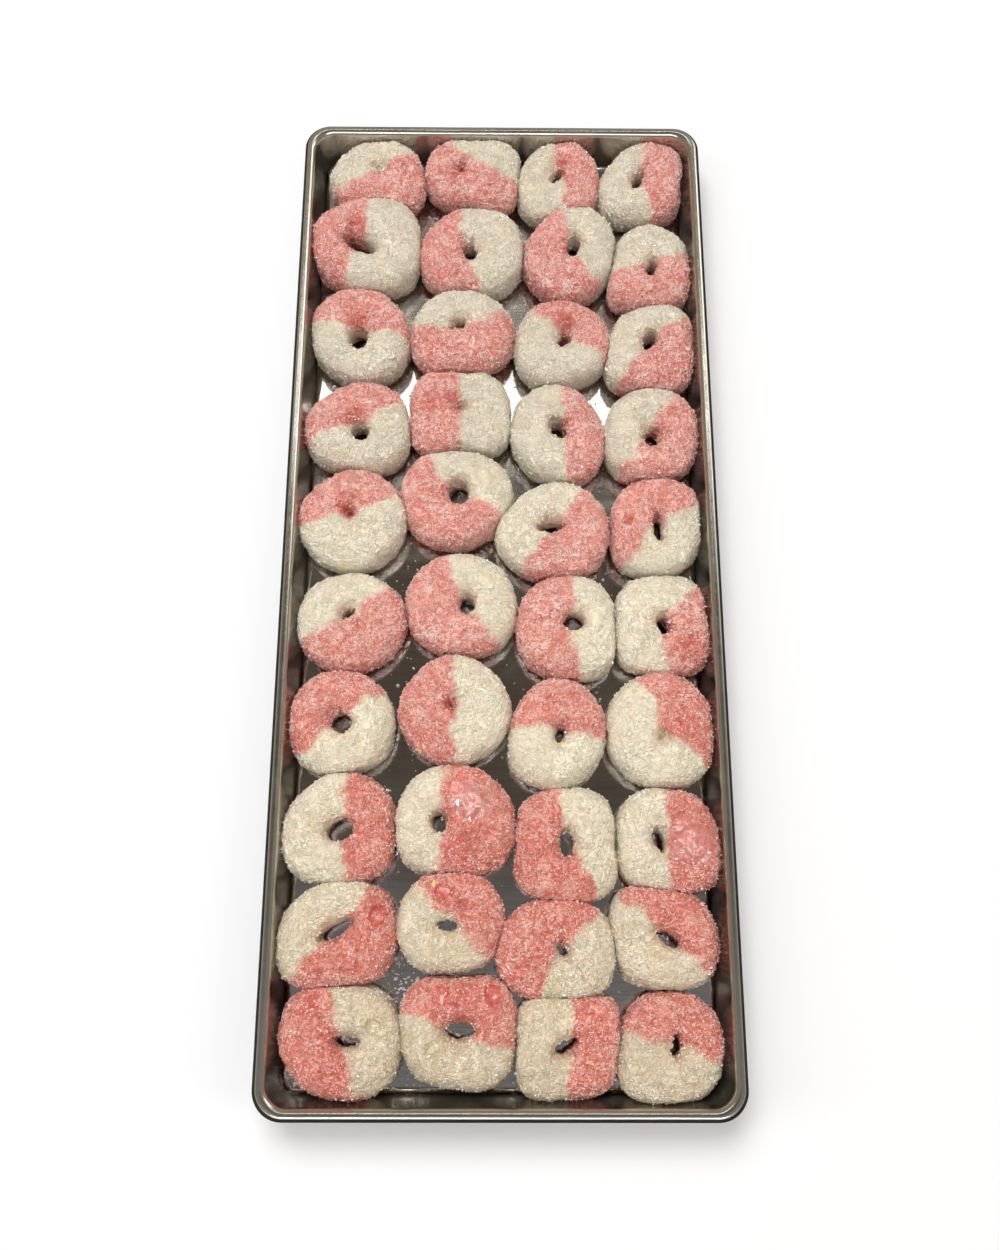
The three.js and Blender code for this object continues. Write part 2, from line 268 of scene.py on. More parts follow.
# The same for the pink part, painted shade among them too.
ROSE_GROUND, ROSE_FROST = (0.70, 0.185, 0.145), (0.91, 0.63, 0.575)
ROSE_GLAZE, ROSE_CREASE_SHADE = (0.73, 0.235, 0.19), (0.62, 0.125, 0.09)
ROSE_CLEAR, ROSE_DEEP = (0.42, 0.135, 0.115), (0.53, 0.055, 0.03)
BLUSH, CRYSTAL, MILK = (0.82, 0.52, 0.41), (0.96, 0.84, 0.79), (0.90, 0.70, 0.66)
# Painted light along the tray, as factors on the colours at the near end, the middle and the far end.
ROSE_LIGHT_ALONG_TRAY = (0.985, 0.89, 0.82), (1.08, 1.28, 1.28), (1.01, 1.16, 1.18)
CREAM_LIGHT_ALONG_TRAY = (0.86, 0.79, 0.725), (1.035, 1.035, 1.04), (0.875, 0.865, 0.89)
LEAST_ROUGHNESS = 0.06


def gummy_material():
    """Puffed, sugar-crusted gummy: frosted beads and crests over a redder or sandier ground."""
    n = Nodes("sugared_gummy")
    pink, deep, tan = n.masks("tint")
    wet, clear, milk = n.masks("skin")
    hollow = n.masks("relief")[0]
    place = n.place()
    row = n.along(place)

    # patterns, from the widest to the finest
    clouds = n.noise(place, 7, 3)
    glaze = n.ramp(n.noise(place, 5.2, 3, 0.6), 0.50, 0.60)
    streaks = n.lines(n.noise(place, 4.0, 3, 0.55), 0.08)
    crease = n.lines(n.noise(place, 2.7, 2, 0.55), 0.045)
    grain = n.noise(place, 2.1, 3, 0.65)
    worms = n.lines(n.noise(place, 2.1, 1), 0.11)
    fine = n.noise(place, 0.7, 1)
    distance, lot, brightness = n.cells(place, 1.05)
    dry = n.plus(1.0, wet, -1.3, clamp=True)
    beads = n.times(n.ramp(distance, 0.15, 0.46, 1.0, 0.0), dry)
    beads = n.times(beads, n.ramp(brightness, 0.0, 1.0, 0.35, 1.0))
    crystal = n.times(n.ramp(lot, 0.80, 0.88), dry)

    frost = 0.40
    for pattern, middle, amount in (
        (clouds, 0.5, 1.35), (grain, 0.5, 1.45), (fine, 0.5, 1.5), (worms, 0.4, 0.35), (beads, 0.3, 0.40),
    ):
        frost = n.plus(frost, n.less(pattern, middle), amount)
    # painted shade: less frost, so a darker ground, in the relief's hollows
    frost = n.plus(frost, hollow, -0.45, clamp=True)

    cream = n.cover(
        n.mix(n.plus(0.5, n.less(frost, 0.35), 0.8, clamp=True), CREAM_GROUND, CREAM_FROST),
        (n.ramp(n.noise(place, 13), 0.52, 0.72, 0.0, 0.40), CREAM_YELLOW),
        (n.ramp(n.noise(place, 2.1, 1), 0.68, 0.76, 0.0, 0.30), CREAM_SPECK),
        (n.times(glaze, 0.50), CREAM_GLAZE),
        # painted shade in the creases
        (n.times(crease, 0.36), CREAM_CREASE_SHADE),
        (n.times(clear, 0.80), CREAM_CLEAR),
        # painted warm shade inside the hole and low on the sides
        (n.times(tan, 0.55), CREAM_WARM_SHADE),
    )
    rose = n.cover(
        n.mix(frost, ROSE_GROUND, ROSE_FROST),
        (n.times(glaze, 0.45), ROSE_GLAZE),
        # painted shade in the creases
        (n.times(crease, 0.62), ROSE_CREASE_SHADE),
        (n.times(clear, 0.80), ROSE_CLEAR),
        # deep coral patches and blisters, and painted shade inside the hole
        (n.times(deep, n.ramp(grain, 0.38, 0.62, 0.98, 0.66)), ROSE_DEEP),
    )
    # painted light along the tray on the rose and the cream: brightest in the middle, dimmer towards the
    # ends
    near, middle, far = ROSE_LIGHT_ALONG_TRAY
    light_along_tray = n.mix(n.ramp(row, 0.02, 0.09), n.mix(n.ramp(row, -0.10, -0.02), near, middle), far)
    rose = n.mix(1.0, rose, light_along_tray, "MULTIPLY")
    near, middle, far = CREAM_LIGHT_ALONG_TRAY
    light_along_tray = n.mix(n.ramp(row, -0.06, 0.10), n.mix(n.ramp(row, -0.22, -0.06), near, middle), far)
    cream = n.mix(1.0, cream, light_along_tray, "MULTIPLY")

    share = n.ramp(n.math("ADD", pink, n.less(grain, 0.5)), 0.06, 0.94)
    colour = n.mix(share, n.mix(n.ramp(pink, 0.0, 0.45, 0.0, 0.30), cream, BLUSH), rose)
    colour = n.cover(
        colour,
        (n.times(n.times(crystal, beads), 0.45), CRYSTAL),
        (n.times(n.times(milk, 0.50), n.math("MAXIMUM", streaks, 0.15)), MILK),
    )

    rough = n.ramp(fine, 0.35, 0.65, 0.30, 0.55)
    for pattern, cut in ((crystal, -0.65), (glaze, -0.45), (wet, -0.90)):
        rough = n.times(rough, n.plus(1.0, pattern, cut))

    height = 0.0
    for pattern, amount in ((worms, 0.35), (grain, 0.95), (fine, 0.90), (beads, 0.30), (crease, -0.60)):
        height = n.plus(height, pattern, amount)
    height = n.times(height, n.ramp(share, 0.0, 1.0, 0.78, 1.0))
    height = n.times(height, n.plus(1.0, wet, -0.90))
    height = n.plus(height, n.times(streaks, milk), 0.12)

    n.shade(
        Base_Color=colour, Roughness=n.math("MAXIMUM", rough, LEAST_ROUGHNESS),
        Normal=n.bump(height, 1.0, 1.0), IOR=1.5, Sheen_Weight=0.08, Sheen_Roughness=0.5,
        Subsurface_Weight=0.32, Subsurface_Radius=(1.0, 0.55, 0.40), Subsurface_Scale=2.2 * MM,
    )
    return n.material


STEEL_DARK, STEEL_LIGHT = (0.52, 0.49, 0.455), (0.62, 0.595, 0.56)
SCRATCH_DARK, SCRATCH_LIGHT = (0.40, 0.375, 0.35), (0.80, 0.79, 0.78)
# Painted reflections on the inner walls: olive on the near wall, dark brown on the others.
NEAR_WALL_REFLECTION, OTHER_WALLS_REFLECTION = (0.62, 0.52, 0.37), (0.24, 0.185, 0.13)
# The rim's flank colours are a painted dark reflection on its outer side.
RIM_TOP, RIM_FLANK_REFLECTION = (0.56, 0.53, 0.465), (0.05, 0.048, 0.045)
FLANK_REFLECTION_DARK, FLANK_REFLECTION_LIGHT = (0.018, 0.017, 0.016), (0.04, 0.038, 0.036)


def steel_material():
    """Satin stainless sheet, brushed across the tray, with painted brownish reflections up its walls."""
    n = Nodes("tray_steel")
    place = n.place()
    brushed = n.noise(n.place((0.03, 1, 1)), 0.7, 3, 0.6)
    broad = n.noise(n.place((0.12, 1, 1)), 4)
    dents = n.noise(place, 30, 1)
    smudge = n.noise(place, 22, 3)
    high, flank, wall = n.masks("rim")
    colour = n.cover(
        n.mix(n.ramp(smudge, 0.3, 0.7), STEEL_DARK, STEEL_LIGHT),
        (n.ramp(brushed, 0.42, 0.66, 0.0, 0.45), SCRATCH_DARK),
        (n.ramp(brushed, 0.36, 0.26, 0.0, 0.40), SCRATCH_LIGHT),
        # painted reflection on the walls
        (n.times(wall, 0.85), n.mix(n.ramp(n.along(place), -0.216, -0.205), NEAR_WALL_REFLECTION, OTHER_WALLS_REFLECTION)),
        (n.times(high, 0.75), RIM_TOP),
        # painted dark reflection on the rim's outer flank
        (n.times(flank, 0.9), RIM_FLANK_REFLECTION),
    )
    rough = n.math("ADD", n.ramp(broad, 0.3, 0.7, 0.08, 0.13), n.ramp(smudge, 0.4, 0.7, 0.0, 0.05))
    for mask, amount in ((flank, 0.60), (wall, 0.18), (high, 0.10)):
        rough = n.plus(rough, mask, amount)
    # the walls and the rim's outer flank are less metallic, so their painted reflections show
    n.shade(
        Base_Color=colour, Roughness=rough, Metallic=n.plus(n.plus(1.0, wall, -0.45), flank, -0.9),
        Normal=n.bump(brushed, 0.07, 0.2, under=n.bump(dents, 0.25, 1.0)),
    )
    return n.material


def flank_material():
    """The rim's outer side: a painted dark reflection, nearly black from above, with no sheen of its own.
    """
    n = Nodes("tray_steel_flank")
    colour = n.mix(n.noise(n.place((1, 1, 0.2)), 6), FLANK_REFLECTION_DARK, FLANK_REFLECTION_LIGHT)
    n.shade(Base_Color=colour, Roughness=0.6, Specular_IOR_Level=0.0)
    return n.material


def sugar_material(name, colour, other):
    """Glossy sugar that lets a little light through."""
    n = Nodes(name)
    place = n.place()
    n.shade(
        Base_Color=n.mix(n.noise(place, 1.5, 1), colour, other),
        Roughness=n.ramp(n.noise(place, 0.7, 1), 0.3, 0.7, 0.12, 0.4),
        Subsurface_Weight=0.3, Subsurface_Radius=(1.0, 0.7, 0.6), Subsurface_Scale=0.8 * MM,
    )
    return n.material


# ------------------------------------------------------------------ the tray

# Millimetres.
TRAY_WIDTH, TRAY_LENGTH, TRAY_HEIGHT = 192, 452, 22
SHEET = 0.9
BEAD_RADIUS = 2.6
WALL_LEAN = 2.8
FLOOR_FILLET = 3
CORNER_RADIUS = 12
CORNER_TIGHTENING = 0.6
FLANK_WIDTH = 0.58 * BEAD_RADIUS
bead_height = TRAY_HEIGHT - BEAD_RADIUS
wall_top_inset = 2 * BEAD_RADIUS
lean_angle = math.atan(WALL_LEAN / (bead_height - SHEET))


def arc(middle, radius, start, end, steps):
    angles = np.radians(np.linspace(start, end, steps + 1))
    return [(middle[0] + radius * math.cos(a), middle[1] + radius * math.sin(a)) for a in angles]


def tray_section():
    """(inset, height) pairs up the wall's inside, round the rolled rim and down the outside."""
    height = SHEET + FLOOR_FILLET
    drop = bead_height - height
    inset = wall_top_inset + (FLOOR_FILLET + drop * math.sin(lean_angle)) / math.cos(lean_angle)
    lean = 180 + math.degrees(lean_angle)
    section = arc((inset, height), FLOOR_FILLET, 270, lean, 8)
    section += arc((BEAD_RADIUS, bead_height), BEAD_RADIUS, 0, 300, 26)
    section += arc((BEAD_RADIUS, bead_height), BEAD_RADIUS - SHEET, 300, 0, 14)
    section += arc((inset, height), FLOOR_FILLET + SHEET, lean, 270, 8)
    return section


def rounded_rectangle(inset, steps=14):
    radius = CORNER_RADIUS - CORNER_TIGHTENING * inset
    half = (TRAY_WIDTH / 2 - inset - radius, TRAY_LENGTH / 2 - inset - radius)
    points = []
    for quarter, signs in enumerate(((1, 1), (-1, 1), (-1, -1), (1, -1))):
        for x, y in arc((0, 0), radius, 90 * quarter, 90 * quarter + 90, steps):
            points.append((signs[0] * half[0] + x, signs[1] * half[1] + y))
    return points


def paint_rim(mesh, section, around):
    """Masks: the rolled rim, its outer flank's upper part and the walls, the last two for painted
    reflections.
    """
    inset, height = (np.repeat(values, around) for values in np.array(section).T)
    rise = (height - bead_height) / BEAD_RADIUS
    on_bead = step(height, bead_height - 1.5, bead_height)
    outward = step((BEAD_RADIUS - inset) / BEAD_RADIUS, 0.34, 0.56)
    wall = step(height, SHEET + 0.5 * FLOOR_FILLET, SHEET + 1.4 * FLOOR_FILLET) * (1 - on_bead)
    paint(mesh, "rim", on_bead, on_bead * outward * step(rise, -0.3, 0.3), wall)


def mark_flank(mesh, section, around):
    """The rim's outer faces get the mesh's second material, a painted dark reflection."""
    for level, ends in enumerate(zip(section, section[1:])):
        inset, height = np.mean(ends, axis=0)
        if inset < FLANK_WIDTH and height > bead_height - 0.5:
            for station in range(around):
                mesh.polygons[level * around + station].material_index = 1


def make_tray():
    section = tray_section()
    corners = [(x, y, h) for inset, h in section for x, y in rounded_rectangle(inset)]
    around = len(corners) // len(section)
    faces = []
    for level in range(len(section) - 1):
        here, above = level * around, (level + 1) * around
        for station in range(around):
            beyond = (station + 1) % around
            faces.append((here + station, above + station, above + beyond, here + beyond))
    faces.append(tuple(range(around)))
    last = (len(section) - 1) * around
    faces.append(tuple(reversed(range(last, last + around))))
    mesh = bpy.data.meshes.new("steel_tray")
    mesh.from_pydata([Vector(c) * MM for c in corners], [], faces)
    smooth(mesh)
    for flat_face in mesh.polygons[-2:]:  # the floor's two sides
        flat_face.use_smooth = False
    mark_flank(mesh, section, around)
    paint_rim(mesh, section, around)
    piece = add_object("steel_tray", mesh)
    mesh.materials.append(steel_material())
    mesh.materials.append(flank_material())
    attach(piece, "root")
    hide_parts("tray")


make_tray()


# ------------------------------------------------------------------ the rings

# For each ring its middle, then where its pink part starts and ends, counted in degrees
# anticlockwise from +X round the turning point that follows, given from the middle. Millimetres.
RINGS = {
    "ring_1_1": ((-61, 204), 203, 395, (0, -3)),
    "ring_1_2": ((-14.5, 204), 133, 330, (-4, 7)),
    "ring_1_3": ((28, 201), -78, 94, (0, 0)),
    "ring_1_4": ((67.5, 200), -82, 90, (1.5, 0)),
    "ring_2_1": ((-66.5, 165), 84, 248, (0.5, 0)),
    "ring_2_2": ((-15, 161), 92, 284, (-2, 2)),
    "ring_2_3": ((32, 160), 96, 306, (0, 0)),
    "ring_2_4": ((70.5, 154), 200, 371, (2, -1)),
    "ring_3_1": ((-67, 115), -8, 170, (0, 0.5)),
    "ring_3_2": ((-19, 118), 181, 382, (1, -1)),
    "ring_3_3": ((28.5, 112), -29, 133, (-1, 1)),
    "ring_3_4": ((69.5, 110), 234, 399, (0, 2)),
    "ring_4_1": ((-67, 68), 28, 204, (0, -0.5)),
    "ring_4_2": ((-19.5, 76), 90, 270, (0.3, 0)),
    "ring_4_3": ((25.5, 66), -90, 90, (2.5, 0)),
    "ring_4_4": ((69, 66), 232, 420, (0, 0)),
    "ring_5_1": ((-67.5, 23), 25, 188, (0, -0.5)),
    "ring_5_2": ((-20, 33), 130, 338, (0, 0)),
    "ring_5_3": ((22.5, 18), 234, 409, (0, 0)),
    "ring_5_4": ((69.5, 20.5), 24, 233, (0, 0)),
    "ring_6_1": ((-66, -24), 205, 400, (0, 0)),
    "ring_6_2": ((-18, -16.5), 107, 309, (0, 1)),
    "ring_6_3": ((28.5, -26), 85, 280, (1, 0)),
    "ring_6_4": ((70.5, -25), 268, 409, (0, 0)),
    "ring_7_1": ((-68, -69), 40, 221, (0, -1)),
    "ring_7_2": ((-20, -63), 90, 273, (-0.8, 0)),
    "ring_7_3": ((24.5, -73), -13, 172, (0, 0)),
    "ring_7_4": ((68.5, -71), -45, 116, (-0.5, 1)),
    "ring_8_1": ((-67.5, -114), -84, 90, (2, 0)),
    "ring_8_2": ((-19.5, -110.5), -92, 85, (-5.5, 0)),
    "ring_8_3": ((27, -120), 102, 298, (0.5, 0)),
    "ring_8_4": ((70, -118.5), -92, 88, (-1.5, 0)),
    "ring_9_1": ((-66.5, -156), 222, 411, (0, 0)),
    "ring_9_2": ((-20, -150), -42, 135, (0, 0)),
    "ring_9_3": ((22, -161), 33, 249, (1, 0)),
    "ring_9_4": ((66.5, -157), -42, 138, (0, 0)),
    "ring_10_1": ((-63, -197.5), 106, 292, (0, 0)),
    "ring_10_2": ((-17, -194), -12, 160, (0, 0.5)),
    "ring_10_3": ((26.5, -199.5), -90, 89, (0.5, 0)),
    "ring_10_4": ((67.5, -199), -20, 165, (0, 1.5)),
}

RING_TRIANGLES = 15000
VOXEL = 0.72  # millimetres
LOWEST_POINT = 1.0  # millimetres, just above the tray's sheet

# Blisters, or pits where the height is negative: ring, place from its middle, radius, height,
# how clear, red and milky. Millimetres.
BLISTERS = [
    ("ring_5_1", (-1.7, 17.2), 4.8, 1.9, 0.8, 0.1, 0.35),
    ("ring_5_2", (12.5, 8), 4.6, 1.0, 0.7, 0.0, 0.0),
    ("ring_6_2", (11.5, 8.5), 4.0, 1.0, 0.7, 0.0, 0.0),
    ("ring_6_3", (12, 0), 4.2, 0.8, 0.6, 0.0, 0.0),
    ("ring_8_2", (7.3, 7), 8.8, 2.4, 0.9, 0.0, 0.65),
    ("ring_8_4", (8.8, -1), 11.0, 1.7, 0.9, 0.10, 0.35),
    ("ring_9_1", (16.8, 6.5), 4.2, -0.7, 0.3, 1.0, 0.1),
    ("ring_9_2", (-3.2, 10.5), 3.6, -0.6, 0.4, 0.8, 0.1),
    ("ring_10_1", (13, 6), 3.6, -0.5, 1.0, 0.0, 0.0),
    ("ring_10_2", (-6.7, 14.3), 3.9, -0.5, 0.4, 0.9, 0.1),
    ("ring_10_2", (14, 14.5), 4.2, -0.6, 0.5, 0.9, 0.1),
    ("ring_10_2", (-9.5, -5.5), 3.2, -0.5, 1.0, 0.0, 0.0),
]
LARGE_BLISTER = 6  # radius from which a blister has an inner fold
WIDEST_WRINKLES = 9  # radius from which a blister's wrinkles have their full height

# Half the width of the change from pink to cream, and the rings where it is another.
EDGE_WIDTH = 2.8
OTHER_EDGES = {"ring_8_2": 3.5, "ring_9_2": 4.0, "ring_3_1": 2.4, "ring_5_4": 2.6}

# Deep coral patches: ring, place, radius, strength.
CORAL_PATCHES = [
    ("ring_2_1", (-4, 7.5), 4.5, 0.9),
    ("ring_1_3", (2, 7), 3.5, 0.7),
    ("ring_3_1", (-1, 5), 6, 0.8),
    ("ring_3_3", (0, 6), 5.5, 0.9),
    ("ring_4_1", (-1, 3), 5.5, 0.9),
    ("ring_4_2", (-13, 2), 3.5, 0.9),
    ("ring_4_2", (-4, 5), 3, 0.6),
    ("ring_5_1", (-2, 4), 4.5, 0.9),
    ("ring_5_4", (-13, 0), 2.6, 0.9),
    ("ring_5_4", (0, 10), 4, 0.5),
    ("ring_6_1", (3.5, -4.5), 2.6, 0.8),
    ("ring_6_4", (9, -11), 6, 0.7),
    ("ring_7_2", (-1.5, 1), 2.5, 1.0),
    ("ring_7_4", (8, 2), 6, 0.5),
    ("ring_8_2", (6, -11), 6, 0.6),
    ("ring_8_4", (4, 9), 4, 0.4),
    ("ring_9_2", (4, 5.5), 2.4, 0.8),
    ("ring_9_1", (-6, -14), 5, 0.4),
    ("ring_10_1", (-11.5, 15), 3.5, 0.7),
    ("ring_10_1", (2, -5), 6, 0.5),
    ("ring_10_2", (1, 10), 5, 0.5),
    ("ring_1_2", (-8, -5), 4, 0.5),
]

# Wet spots, where glossy skin is bare of sugar: ring, place, radius.
WET_SPOTS = [
    ("ring_1_1", (-2, 11), 3.5),
    ("ring_1_2", (-3, 11), 3),
    ("ring_2_1", (17, -5), 5),
    ("ring_2_1", (10, 8), 4),
    ("ring_3_1", (-12, 4), 3),
    ("ring_3_1", (10, -18), 4),
    ("ring_3_2", (5, -11), 3),
    ("ring_4_2", (-11, -2), 4),
    ("ring_4_1", (5, 8), 3),
    ("ring_5_3", (9, 15), 3.5),
    ("ring_5_3", (-9, 3), 3),
    ("ring_5_2", (13, -1), 3),
    ("ring_4_4", (-13, 1), 3.5),
    ("ring_4_3", (-10, -9), 3),
    ("ring_3_3", (4, -12), 3),
    ("ring_2_3", (12, 6), 3),
    ("ring_6_4", (-8, 4), 3),
    ("ring_7_1", (-14, 5), 3.5),
    ("ring_7_3", (-12, 8), 4),
    ("ring_10_3", (12, 12), 4),
    ("ring_10_2", (2, -10), 4),
    ("ring_10_2", (-6.5, 9.5), 2),
    ("ring_10_1", (13, 6), 3),
    ("ring_8_2", (2, 15), 6),
    ("ring_6_1", (8, 12), 4),
    ("ring_5_4", (-14, 6), 3),
    ("ring_7_4", (-6, -14), 3.5),
    ("ring_9_4", (-12, -6), 3),
]

TUFT = ("ring_8_1", (-19, 16), 5.5)  # a whitish tuft: ring, place, radius


def apply_modifiers(piece):
    before = piece.data
    piece.data = bpy.data.meshes.new_from_object(piece.evaluated_get(bpy.context.evaluated_depsgraph_get()))
    piece.data.name = piece.name
    piece.modifiers.clear()
    bpy.data.meshes.remove(before)


def smooth_ring(node):
    """A smooth skin through the CAD ring's corners, remeshed to even faces."""
    body = bmesh.new()
    body.from_mesh(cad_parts[node].data)
    bmesh.ops.remove_doubles(body, verts=body.verts, dist=0.02 * MM)
    bmesh.ops.join_triangles(body, faces=body.faces, angle_face_threshold=math.radians(60),
                             angle_shape_threshold=math.radians(60))
    mesh = bpy.data.meshes.new(node + "_sweet")
    body.to_mesh(mesh)
    body.free()
    piece = add_object(node + "_sweet", mesh)
    subdivision = piece.modifiers.new("skin", "SUBSURF")
    subdivision.levels = subdivision.render_levels = 2
    target = points_of(mesh)
    cage = target.copy()
    for _ in range(4):  # moves the cage until the skin passes through the corners
        skin = piece.evaluated_get(bpy.context.evaluated_depsgraph_get()).to_mesh()
        cage += target - points_of(skin)[:len(target)]
        set_points(mesh, cage)
    remesh = piece.modifiers.new("even", "REMESH")
    remesh.mode = "VOXEL"
    remesh.voxel_size = VOXEL * MM
    relax = piece.modifiers.new("relax", "SMOOTH")
    relax.factor = 0.5
    relax.iterations = 3
    apply_modifiers(piece)
    return piece


def thin_out(piece, triangles):
    """Keeps about so many triangles, most of them where the relief is."""
    count = sum(len(face.vertices) - 2 for face in piece.data.polygons)
    thin = piece.modifiers.new("thin", "DECIMATE")
    thin.ratio = min(1, triangles / count)
    apply_modifiers(piece)


def side_of_sector(flat, start, end):
    """How far inside the sector from start to end a point is, in plan; negative outside it."""
    a, b = math.radians(start), math.radians(end)
    past_start = math.cos(a) * flat[:, 1] - math.sin(a) * flat[:, 0]
    before_end = math.sin(b) * flat[:, 0] - math.cos(b) * flat[:, 1]
    join = np.minimum if end - start <= 180 else np.maximum
    return join(past_start, before_end)


def pink_share(node, points, flat):
    """1 on the pink part, 0 on the cream part."""
    _, start, end, pivot = RINGS[node]
    wobble = 3.0 * perlin(points, 11 * MM, 3.1) + 1.8 * perlin(points, 5 * MM, 7.7)
    wobble += 0.9 * perlin(points, 2 * MM, 0.4)
    inside = side_of_sector(flat - np.array(pivot) * MM, start, end) + wobble * MM
    soft = OTHER_EDGES.get(node, EDGE_WIDTH) * MM
    return step(inside, -soft, soft)


def crust_of(node, points, normals):
    """The crust of a ring: how far each point rises in millimetres, and its masks."""
    middle = np.array(RINGS[node][0]) * MM
    low = points[:, 2].min()
    flat = points[:, :2] - middle
    up = step(points[:, 2], low, low + 5 * MM)
    pink = pink_share(node, points, flat)
    lumps = 0.60 * perlin(points, 9 * MM, 5.5) + 0.42 * perlin(points, 4.5 * MM, 2.2)
    worms = 1 - np.abs(perlin(points, 3.0 * MM, 9.4)) * 3.0
    sand = perlin(points, 1.8 * MM, 4.8)
    worn = 0.55 + 0.45 * step(perlin(points, 9 * MM, 1.3), -0.45, 0.25)
    from_hole = np.hypot(*flat.T)
    in_hole = step(-(normals[:, 0] * flat[:, 0] + normals[:, 1] * flat[:, 1]) / from_hole, 0.1, 0.8)
    in_hole *= step(from_hole, 13 * MM, 6 * MM)
    count = len(points)
    crust = SimpleNamespace(
        flat=flat, up=up, pink=pink,
        rise=(lumps + (0.32 * worms + 0.32 * sand) * (0.85 + 0.15 * pink) * worn) * (1 + 0.5 * in_hole),
        # the relief's hollows, which get painted shade
        hollow=step(0.6 * worms + 0.8 * sand, 0.3, -0.9),
        patchy=np.clip(0.85 + 0.9 * perlin(points, 2.6 * MM, 12.5), 0.2, 1.3),
        # painted shade: redder inside the hole; the deep coral patches and blisters are added below
        deep=0.35 * in_hole,
        # painted warm shade: inside the hole, and warmer towards the foot
        tan=0.6 * in_hole + 0.3 * (1 - step(points[:, 2], 3 * MM, 10 * MM)),
        wet=np.zeros(count), clear=np.zeros(count), milk=np.zeros(count),
    )
    for name, place, radius, strength in CORAL_PATCHES:
        if name == node:
            crust.deep += 1.25 * strength * crust.patchy * blob(flat, place, radius)
    for name, place, radius in WET_SPOTS:
        if name == node:
            spot = blob(flat, place, radius) * step(perlin(points, 3 * MM), -0.3, 0.3)
            crust.wet += spot
            crust.rise *= 1 - 0.6 * spot
    for name, *blister in BLISTERS:
        if name == node:
            add_blister(crust, points, *blister)
    if node == TUFT[0]:
        tuft = blob(flat, *TUFT[1:])
        crust.milk += 2 * tuft
        crust.rise += 1.2 * tuft * np.abs(perlin(points, 2 * MM, 6.0))
    crust.wet += 0.5 * step(perlin(points, 4 * MM, 8.8), 0.33, 0.55)
    return crust


def add_blister(crust, points, place, radius, height, clarity, redness, milkiness):
    """A wrinkled dome of bare glossy skin inside a sunken seam, or a rough pit inside a raised edge."""
    away = np.hypot(*(crust.flat - np.array(place) * MM).T) / (radius * MM)
    away = away + 0.26 * perlin(points, 0.5 * radius * MM, 15.5)
    dome = np.clip(1 - away ** 2, 0, 1) * crust.up
    seam = np.exp(-((away - 1.0) / 0.2) ** 2) * crust.up
    skin = step(1 - away, 0.0, 0.22) * crust.up
    bare = skin if height > 0 else 0.45 * skin
    wrinkles = 1 - np.abs(perlin(points, 3.2 * MM, 17.7)) * 3.0
    crust.rise = crust.rise * (1 - 0.7 * bare) + height * dome - math.copysign(0.30, height) * seam
    crust.rise += 0.25 * perlin(points, 1.8 * MM, 19.1) * bare
    crust.rise += min(radius / WIDEST_WRINKLES, 1) * 0.36 * wrinkles * bare
    if radius > LARGE_BLISTER:
        crust.rise -= 0.35 * np.exp(-((away - 0.62) / 0.09) ** 2)
    crust.hollow *= 1 - 0.8 * bare
    crust.wet += 0.5 * (skin + bare)
    crust.clear += clarity * skin
    crust.milk += milkiness * skin
    ring = np.exp(-((away - 0.75) / 0.35) ** 2)
    crust.deep += redness * crust.up * (0.55 * skin + 0.75 * ring) * crust.patchy


def make_ring(node, material):
    piece = smooth_ring(node)
    mesh = piece.data
    points, normals = points_of(mesh), normals_of(mesh)
    crust = crust_of(node, points, normals)
    points = points + normals * (crust.rise * MM * (0.35 + 0.65 * crust.up))[:, None]
    points[:, 2] = np.maximum(points[:, 2], LOWEST_POINT * MM)
    set_points(mesh, points)
    smooth(mesh)
    paint(mesh, "tint", crust.pink, crust.deep, crust.tan)
    paint(mesh, "skin", crust.wet, crust.clear, crust.milk)
    paint(mesh, "relief", crust.hollow)
    thin_out(piece, RING_TRIANGLES)
    piece.data.materials.clear()
    piece.data.materials.append(material)
    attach(piece, "root")
    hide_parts(node)
    return piece


gummy = gummy_material()
sweets = [make_ring(node, gummy) for node in RINGS]


# ------------------------------------------------------------------ sugar

GRAINS_PER_RING = 1000
GRAIN_FACES = [(1, 3, 5), (3, 0, 5), (0, 2, 5), (2, 1, 5), (3, 1, 4), (0, 3, 4), (2, 0, 4), (1, 2, 4)]


def grain_corners(size):
    """An uneven little crystal with eight faces."""
    corners = []
    for axis in range(3):
        for side in (-1, 1):
            corner = rng.normal(0, 0.12, 3)
            corner[axis] += side * rng.uniform(0.6, 1.25)
            corners.append(corner * size / 2)
    turn = Matrix.Rotation(rng.uniform(0, math.tau), 3, Vector(rng.normal(0, 1, 3)).normalized())
    return np.array(corners) @ np.array(turn)


def sprinkle(name, places, sizes, material):
    """One mesh of many grains."""
    corners = np.concatenate([grain_corners(size) + place for place, size in zip(places, sizes)])
    faces = [tuple(6 * index + corner for corner in face)
             for index in range(len(places)) for face in GRAIN_FACES]
    mesh = bpy.data.meshes.new(name)
    mesh.from_pydata(corners.tolist(), [], faces)
    mesh.materials.append(material)
    piece = add_object(name, mesh)
    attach(piece, "root")
    return piece


